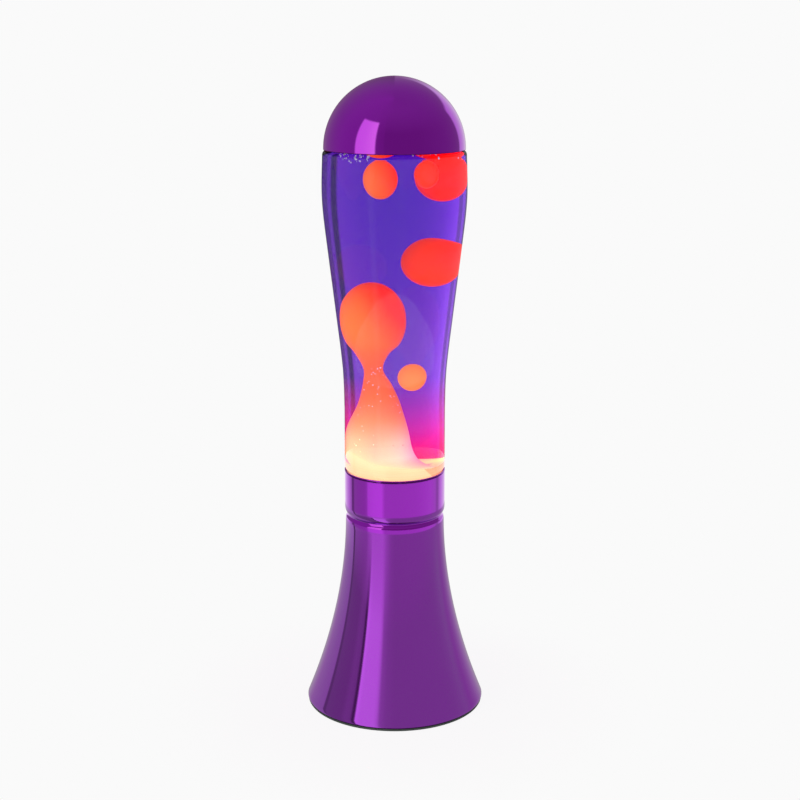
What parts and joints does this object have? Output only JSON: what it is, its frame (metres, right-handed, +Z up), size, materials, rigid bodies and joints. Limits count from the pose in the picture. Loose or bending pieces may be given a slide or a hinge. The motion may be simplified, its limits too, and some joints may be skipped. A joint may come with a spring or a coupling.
{
  "type": "lava lamp",
  "caption": "Lava lamp with a trumpet-shaped metal base, a lift-out glass bottle of coloured wax in liquid, a domed metal cap and a bulb that screws out below.",
  "frame": {"origin": "centre of the base's footprint, on the surface that the lamp stands on", "axes": "+Z up along the lamp's axis; +Y towards the back, where the cord's inlet is; +X to the right seen from the front"},
  "size_m": [0.1196, 0.1196, 0.4208],
  "materials": {
    "purple_metal": "polished, purple anodised",
    "black_rubber": "matte",
    "black_steel": "satin black",
    "zinc_steel": "zinc plated",
    "brass": "plain",
    "ceramic": "glazed ceramic",
    "black_plastic": "moulded",
    "white_plastic": "moulded",
    "silicone": "matte",
    "brown_lead": "insulation",
    "blue_lead": "insulation",
    "green_lead": "insulation",
    "bulb_glass": "silvered sides, frosted front",
    "tungsten": "drawn wire",
    "black_glass": "opaque black glass",
    "clear_glass": "clear, smooth",
    "violet_liquid": "clear violet liquid",
    "red_wax": "soft translucent wax, lit from below",
    "plated_steel": "bright plated"
  },
  "bodies": {
    "base": {"base_shell": "purple_metal", "base_edge_trim": "black_rubber", "cord_grommet": "black_rubber", "bottom_plate": "black_steel", "plate_screw_1": "zinc_steel", "plate_screw_2": "zinc_steel", "plate_screw_3": "zinc_steel", "plate_nut_1": "zinc_steel", "plate_nut_2": "zinc_steel", "plate_nut_3": "zinc_steel", "holder_bracket": "zinc_steel", "bracket_screw_1": "zinc_steel", "bracket_screw_2": "zinc_steel", "bracket_nut_1": "zinc_steel", "bracket_nut_2": "zinc_steel", "nipple_nut": "zinc_steel", "threaded_nipple": "brass", "holder_cap": "black_plastic", "holder_skirt": "black_plastic", "holder_insert": "ceramic", "screw_socket": "brass", "centre_contact": "brass", "terminal_block": "white_plastic", "terminal_screw_1": "zinc_steel", "terminal_screw_2": "zinc_steel", "terminal_screw_3": "zinc_steel", "block_screw": "zinc_steel", "live_lead": "brown_lead", "neutral_lead": "blue_lead", "earth_lead": "green_lead", "earth_screw": "zinc_steel", "earth_nut": "brass", "seat_ring": "silicone"},
    "bulb_cap": {"bulb_contact": "plated_steel", "bulb_insulator": "black_glass", "bulb_cap_shell": "plated_steel"},
    "bulb_envelope": {"bulb_glass": "bulb_glass", "bulb_stem": "bulb_glass", "bulb_filament": "tungsten"},
    "bottle": {"glass_bottle": "clear_glass", "crown_liner": "silicone", "crown_cork": "plated_steel", "liquid": "violet_liquid", "wax_column": "red_wax", "heating_coil": "plated_steel"},
    "blob_1": {"wax_blob_1": "red_wax"},
    "blob_2": {"wax_blob_2": "red_wax"},
    "blob_3": {"wax_blob_3": "red_wax"},
    "blob_4": {"wax_blob_4": "red_wax"},
    "blob_5": {"wax_blob_5": "red_wax"},
    "cap": {"cap_shell": "purple_metal"}
  },
  "joints": [
    {"name": "bottle_lift", "type": "slide", "parent": "base", "child": "bottle", "axis": [0, 0, 1], "range_m": [0, 0.06]},
    {"name": "cap_lift", "type": "slide", "parent": "bottle", "child": "cap", "axis": [0, 0, 1], "range_m": [0, 0.06]},
    {"name": "bulb_rise", "type": "slide", "parent": "base", "child": "bulb_cap", "axis": [0, 0, 1], "range_m": [0, 0.01693]},
    {"name": "bulb_turn", "type": "hinge", "parent": "bulb_cap", "child": "bulb_envelope", "pos_m": [0, 0, 0.0508], "axis": [0, 0, 1], "range_deg": [0, 2160]},
    {"name": "blob_1_drift", "type": "slide", "parent": "bottle", "child": "blob_1", "axis": [0, 0, 1], "range_m": [-0.04, 0.001], "deforming": ["liquid"]},
    {"name": "blob_2_drift", "type": "slide", "parent": "bottle", "child": "blob_2", "axis": [0, 0, 1], "range_m": [-0.01, 0], "deforming": ["liquid"]},
    {"name": "blob_3_drift", "type": "slide", "parent": "bottle", "child": "blob_3", "axis": [0, 0, 1], "range_m": [-0.06, 0], "deforming": ["liquid"]},
    {"name": "blob_4_drift", "type": "slide", "parent": "bottle", "child": "blob_4", "axis": [0, 0, 1], "range_m": [-0.01, 0.006], "deforming": ["liquid"]},
    {"name": "blob_5_drift", "type": "slide", "parent": "bottle", "child": "blob_5", "axis": [0, 0, 1], "range_m": [-0.006, 0.02], "deforming": ["liquid"]}
  ],
  "couplings": [
    {"joint": "bulb_rise", "follows": "bulb_turn", "m_per_rad": 0.00044882}
  ]
}
